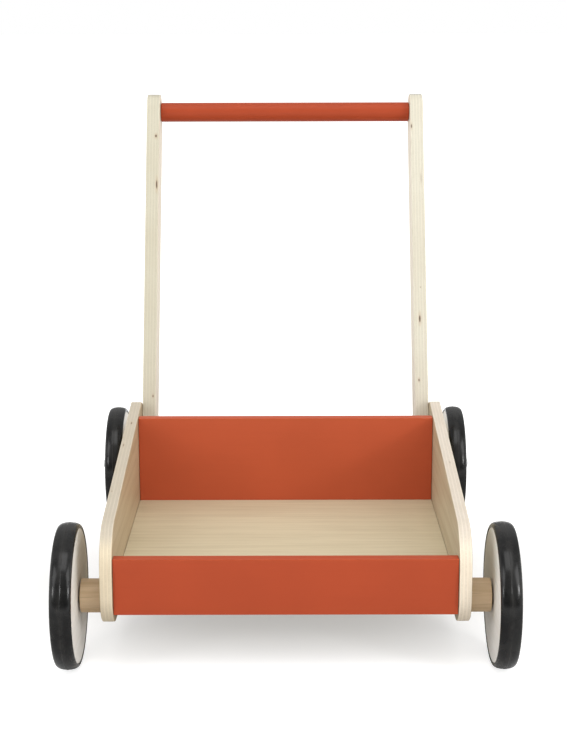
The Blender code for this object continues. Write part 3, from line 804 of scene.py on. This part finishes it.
def make_cap(node, side, metal):
    """Domed cap with a blind hole for the end of the axle rod."""
    half, middle = half_and_middle(node)
    radius, height = half.z, 2 * half.x
    skirt, wall, bore = height / 3, 0.0014, ROD_RADIUS + 0.00015
    dome = []
    for i in range(DOME_STEPS + 1):
        angle = math.pi / 2 * (1 - i / DOME_STEPS)
        dome.append((radius * math.cos(angle), skirt + (height - skirt) * math.sin(angle)))
    dome[0] = (0, height)
    profile = [*dome, (radius, 0), (bore, 0), (bore, height - wall), (0, height - wall)]
    cap = put(turned(node + "_shape", profile, ROUND_STEPS), side, abs(middle.x) - half.x, middle.y, middle.z)
    settle(cap)
    stand_for(cap, node, metal)


def make_rod(node, metal):
    half, middle = half_and_middle(node)
    ease = 0.0005
    profile = [
        (0, half.x),
        (half.z - ease, half.x),
        (half.z, half.x - ease),
        (half.z, -half.x + ease),
        (half.z - ease, -half.x),
        (0, -half.x),
    ]
    rod = put(turned(node + "_shape", profile, ROUND_STEPS), 1, 0, middle.y, middle.z)
    settle(rod)
    stand_for(rod, node, metal)


def socketed(obj, radius, depth, side, x, y, z, inwards=False):
    """Cuts a six-sided recess in a head whose face is at x."""
    low, high = (-0.005, depth) if inwards else (-depth, 0.005)
    profile = [(0, high), (radius, high), (radius, low), (0, low)]
    cut(obj, [put(turned("socket", profile, 6), side, x, y, z)])


def make_screw(node, side, socket_radius, metal):
    half, middle = half_and_middle(node)
    head, length = half.z, 2 * half.x
    x = abs(middle.x) + half.x
    shank, depth = head * 0.48, head * 0.62
    profile = [
        (0, 0),
        (head - 0.00012, 0),
        (head, -0.00012),
        (head, -0.0003),
        (shank, -depth),
        (shank, -length + 2 * shank),
        (0, -length),
    ]
    screw = put(turned(node + "_shape", profile, SMALL_STEPS), side, x, middle.y, middle.z)
    socketed(screw, socket_radius, 0.0015, side, x, middle.y, middle.z)
    stand_for(screw, node, metal)


def make_bolt(node, side, face_x, metal):
    """Flat-headed furniture bolt outside a side."""
    half, middle = half_and_middle(node)
    head, x_out = half.z, abs(middle.x) + half.x
    top, low = x_out - face_x, FIT_GAP
    end = -(2 * half.x - top)
    ease, shank = 0.0006, 0.0030
    rim = eased_rim(head, top, ease, EASE_STEPS)
    profile = [(0, top), *rim, (head, low), (shank, low), (shank, end), (0, end)]
    bolt = put(turned(node + "_shape", profile, ROUND_STEPS), side, face_x, middle.y, middle.z)
    socketed(bolt, SOCKET_RADIUS, SOCKET_DEPTH, side, x_out, middle.y, middle.z)
    stand_for(bolt, node, metal)


def make_nut(node, side, metal):
    """Sleeve nut inside an upright: a flat head, and a sleeve in the upright's hole."""
    half, middle = half_and_middle(node)
    head, length = half.z, 2 * half.x
    face, thick, ease = abs(middle.x) - half.x, 0.0018, 0.0006
    thread, sleeve = 0.00315, 0.0043
    turns = [math.pi / 2 * (1 - i / EASE_STEPS) for i in range(EASE_STEPS + 1)]
    rim = [(head - ease + ease * math.sin(a), ease - ease * math.cos(a)) for a in turns]
    profile = [
        (0, thick),
        (thread, thick),
        (thread, length),
        (sleeve, length),
        (sleeve, thick),
        (head, thick),
        *rim,
        (0, 0),
    ]
    nut = put(turned(node + "_shape", profile, ROUND_STEPS), side, face, middle.y, middle.z)
    socketed(nut, SOCKET_RADIUS, SOCKET_DEPTH, side, face, middle.y, middle.z, inwards=True)
    stand_for(nut, node, metal)


def make_pieces():
    metal = metal_finish()
    nylon = nylon_finish()
    dowel = board_finish("wood_dowel", 2, 2.7, DOWEL_LIGHT, DOWEL_DARK, 1.2)
    make_sides()
    make_uprights()
    make_boards()
    make_handle()
    side_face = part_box("side_panel_right")[1].x
    for name, side in SIDES:
        for node, *_ in node_places("board_screw", name):
            make_screw(node, side, 0.0016, metal)
        make_screw("handle_screw_" + name, side, 0.0020, metal)
        for node, *_ in node_places("upright_bolt", name):
            make_bolt(node, side, side_face, metal)
        for node, *_ in node_places("upright_nut", name):
            make_nut(node, side, metal)
    for wheel, side in WHEELS:
        make_wheel(wheel, side, nylon)
        ring("axle_spacer_" + wheel, side, ROD_RADIUS + FIT_GAP, 0.0007, dowel)
        ring("inner_washer_" + wheel, side, ROD_RADIUS + FIT_GAP, 0.0002, nylon)
        ring("outer_washer_" + wheel, side, ROD_RADIUS + FIT_GAP, 0.0002, metal)
        make_cap("axle_cap_" + wheel, side, metal)
    for axle in ("front", "rear"):
        make_rod(axle + "_axle_rod", metal)


make_pieces()


# ---------------------------------------------------------------- floor and light

ROOM_DIM, ROOM_ABOVE, ROOM_ASIDE = 0.32, 0.80, 1.20
FLOOR_PAINTED_SHADOW_GLOW, FLOOR_FAR_GLOW = 0.38, 0.76
FLOOR_FAR_LIGHT = 0.76
FLOOR_PAINTED_SHADOW_SIZE = (0.36, 0.185, 1.0)  # half-size of the painted shadow: the area under the object where the floor glows less to the camera
FLOOR_SIZE = 60.0
LIGHTS = (  # name, place, aim, size, watts
    ("left_box", (-5.2, -4.4, 5.6), (0, 0, 0.15), (3.6, 3.6), 106),
    ("right_box", (4.9, -4.4, 5.6), (0, 0, 0.15), (3.6, 3.6), 121),
    ("top_box", (0.0, -1.6, 5.0), (0, 0, 0.15), (2.8, 2.8), 54),
    ("left_fill", (-3.2, -3.2, 1.5), (0, -0.2, 0.15), (1.4, 1.4), 4),
    ("right_fill", (3.0, -3.0, 1.5), (0, -0.2, 0.15), (1.4, 1.4), 5),
    ("left_glint", (-1.9, -1.9, 0.92), (-0.1, -0.2, 0.08), (0.34, 0.46), 6.5),
    ("right_glint", (1.8, -1.8, 0.92), (0.1, -0.2, 0.08), (0.34, 0.46), 12.0),
)


def make_floor():
    """Pale sweep, lit a little from below as on a light table, so that shadows on it stay soft. To the camera it
    glows less in an area under the object: a painted shadow.
    """
    far = FLOOR_SIZE
    corners = [(-far, -far, 0), (far, -far, 0), (far, far, 0), (-far, far, 0)]
    floor = new_object("floor", corners, [], [(0, 1, 2, 3)])
    finish = Finish("pale_floor")
    tone = finish.noise(finish.mapped((1, 1, 1)), 3, 2.0)
    colour = finish.mix(tone, (0.61, 0.61, 0.61), (0.63, 0.63, 0.63))
    distance = finish.length(finish.place)
    seen = finish.tree.nodes.new("ShaderNodeLightPath").outputs["Is Camera Ray"]
    # Painted shadow: the glow that the camera sees is lowest in an area under the object.
    painted_shadow_area = finish.mapped(tuple(1 / r for r in FLOOR_PAINTED_SHADOW_SIZE))
    shown = finish.ease(finish.length(painted_shadow_area), 0.55, 1.5, FLOOR_PAINTED_SHADOW_GLOW, FLOOR_FAR_GLOW)
    given = finish.ease(distance, 0.4, 1.2, 0.0, FLOOR_FAR_LIGHT)
    glow = finish.math("ADD", given, finish.math("MULTIPLY", seen, finish.math("SUBTRACT", shown, given)))
    finish.shader.inputs["Emission Color"].default_value = (1.0, 1.0, 1.0, 1.0)
    finish.feed(finish.shader.inputs["Emission Strength"], glow)
    floor.data.materials.append(finish.end(colour, 0.8, specular=0.1))


def softbox(name, at, aim, size, power):
    light = bpy.data.lights.new(name, "AREA")
    light.shape = "RECTANGLE"
    light.size, light.size_y = size
    light.energy = power
    obj = bpy.data.objects.new(name, light)
    obj.location = at
    obj.rotation_euler = (Vector(aim) - Vector(at)).to_track_quat("-Z", "Y").to_euler()
    bpy.context.scene.collection.objects.link(obj)


def make_world():
    """Studio surroundings: bright above and at both sides, dim in front and behind, white as a backdrop."""
    world = bpy.data.worlds.new("studio")
    world.use_nodes = True
    tree = world.node_tree
    output = tree.nodes["World Output"]
    room = tree.nodes["Background"]
    room.inputs["Color"].default_value = (1.0, 1.0, 1.0, 1.0)
    backdrop = tree.nodes.new("ShaderNodeBackground")
    backdrop.inputs["Strength"].default_value = 1.0
    backdrop.inputs["Color"].default_value = (1.0, 1.0, 1.0, 1.0)
    direction = tree.nodes.new("ShaderNodeTexCoord")
    split = tree.nodes.new("ShaderNodeSeparateXYZ")
    tree.links.new(direction.outputs["Generated"], split.inputs[0])

    def band(socket, low, high, dim, bright):
        node = tree.nodes.new("ShaderNodeMapRange")
        node.interpolation_type = "SMOOTHSTEP"
        tree.links.new(socket, node.inputs["Value"])
        node.inputs["From Min"].default_value = low
        node.inputs["From Max"].default_value = high
        node.inputs["To Min"].default_value = dim
        node.inputs["To Max"].default_value = bright
        return node.outputs["Result"]

    def combine(operation, a, b=0.0):
        node = tree.nodes.new("ShaderNodeMath")
        node.operation = operation
        tree.links.new(a, node.inputs[0])
        if isinstance(b, float):
            node.inputs[1].default_value = b
        else:
            tree.links.new(b, node.inputs[1])
        return node.outputs[0]

    above = band(split.outputs[2], 0.05, 0.85, ROOM_DIM, ROOM_ABOVE)
    aside = band(combine("ABSOLUTE", split.outputs[0]), 0.72, 0.95, 0.0, ROOM_ASIDE)
    tree.links.new(combine("ADD", above, aside), room.inputs["Strength"])
    seen = tree.nodes.new("ShaderNodeLightPath")
    choice = tree.nodes.new("ShaderNodeMixShader")
    tree.links.new(seen.outputs["Is Camera Ray"], choice.inputs[0])
    tree.links.new(room.outputs[0], choice.inputs[1])
    tree.links.new(backdrop.outputs[0], choice.inputs[2])
    tree.links.new(choice.outputs[0], output.inputs["Surface"])
    bpy.context.scene.world = world


def make_light():
    make_world()
    for name, at, aim, size, power in LIGHTS:
        softbox(name, at, aim, size, power)


make_floor()
make_light()
view = bpy.context.scene.view_settings
view.view_transform = "Standard"
view.look = "None"
view.exposure = 0.0

bpy.context.view_layer.update()
